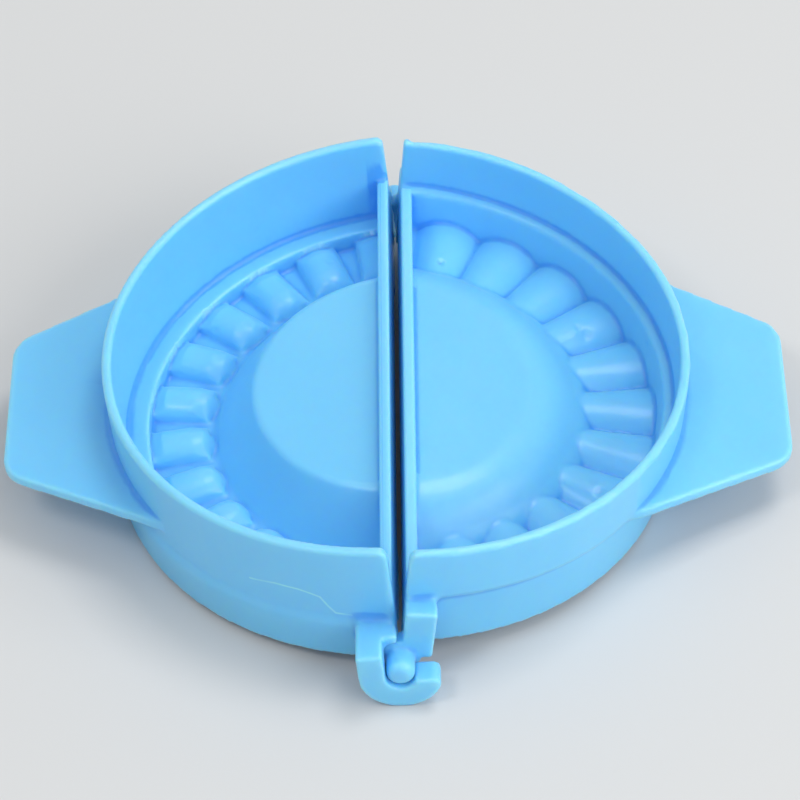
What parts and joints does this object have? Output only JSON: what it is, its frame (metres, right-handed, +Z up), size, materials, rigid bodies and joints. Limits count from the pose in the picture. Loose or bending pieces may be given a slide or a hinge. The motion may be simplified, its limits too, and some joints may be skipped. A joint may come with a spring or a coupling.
{
  "type": "dumpling press",
  "caption": "Folding hand press for filled dough: half-round cutting skirts, filling cups, crimping teeth and flat grips joined by snap hinges.",
  "frame": {"origin": "on the table top, midway between the two hinges and straight below their pins, with the press lying open", "axes": "+Z up, out of the cutting skirt; +Y along the hinge line; +X towards the right half's grip"},
  "size_m": [0.1168, 0.1028, 0.0243],
  "materials": {
    "left_plastic": "satin gloss, light blue polypropylene",
    "right_plastic": "satin gloss, light blue polypropylene"
  },
  "bodies": {
    "left_half": {"left_half": "left_plastic"},
    "right_half": {"right_half": "right_plastic"}
  },
  "joints": [
    {"name": "fold_hinge", "type": "hinge", "parent": "left_half", "child": "right_half", "pos_m": [0, 0, 0.006], "axis": [0, 1, 0], "range_deg": [-9, 170]}
  ]
}
